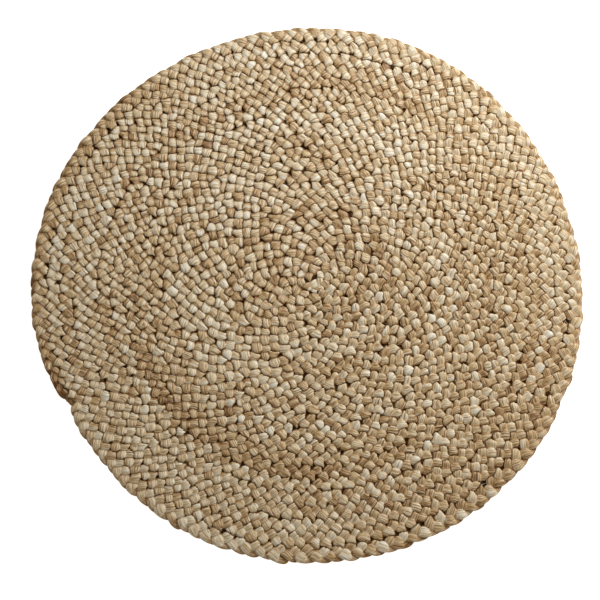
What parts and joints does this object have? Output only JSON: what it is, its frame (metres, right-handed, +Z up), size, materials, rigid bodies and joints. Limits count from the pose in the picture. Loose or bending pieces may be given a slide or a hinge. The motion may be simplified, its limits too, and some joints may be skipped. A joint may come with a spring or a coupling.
{
  "type": "round braided jute area rug",
  "caption": "Round hand-braided jute rug: one flat plait coiled from the eye to a tapered tail, each turn laced to the next.",
  "frame": {"origin": "centre of the rug's outline, on the floor under it", "axes": "+Z up out of the rug's top face; +Y is the rug's far side as it is usually seen, +X its right side"},
  "size_m": [1.2014, 1.1998, 0.013],
  "materials": {
    "jute_plait": "matte untwisted jute fibre, cream to tan, with a slight silky sheen along the strands",
    "lacing_twine": "matte spun jute twine"
  },
  "bodies": {
    "root": {"centre_start": "jute_plait", "turn_01": "jute_plait", "turn_02": "jute_plait", "turn_03": "jute_plait", "turn_04": "jute_plait", "turn_05": "jute_plait", "turn_06": "jute_plait", "turn_07": "jute_plait", "turn_08": "jute_plait", "turn_09": "jute_plait", "turn_10": "jute_plait", "turn_11": "jute_plait", "turn_12": "jute_plait", "turn_13": "jute_plait", "turn_14": "jute_plait", "turn_15": "jute_plait", "turn_16": "jute_plait", "turn_17": "jute_plait", "turn_18": "jute_plait", "turn_19": "jute_plait", "turn_20": "jute_plait", "turn_21": "jute_plait", "tail_end": "jute_plait", "lacing_01": "lacing_twine", "lacing_02": "lacing_twine", "lacing_03": "lacing_twine", "lacing_04": "lacing_twine", "lacing_05": "lacing_twine", "lacing_06": "lacing_twine", "lacing_07": "lacing_twine", "lacing_08": "lacing_twine", "lacing_09": "lacing_twine", "lacing_10": "lacing_twine", "lacing_11": "lacing_twine", "lacing_12": "lacing_twine", "lacing_13": "lacing_twine", "lacing_14": "lacing_twine", "lacing_15": "lacing_twine", "lacing_16": "lacing_twine", "lacing_17": "lacing_twine", "lacing_18": "lacing_twine", "lacing_19": "lacing_twine", "lacing_20": "lacing_twine", "lacing_21": "lacing_twine"}
  },
  "joints": []
}
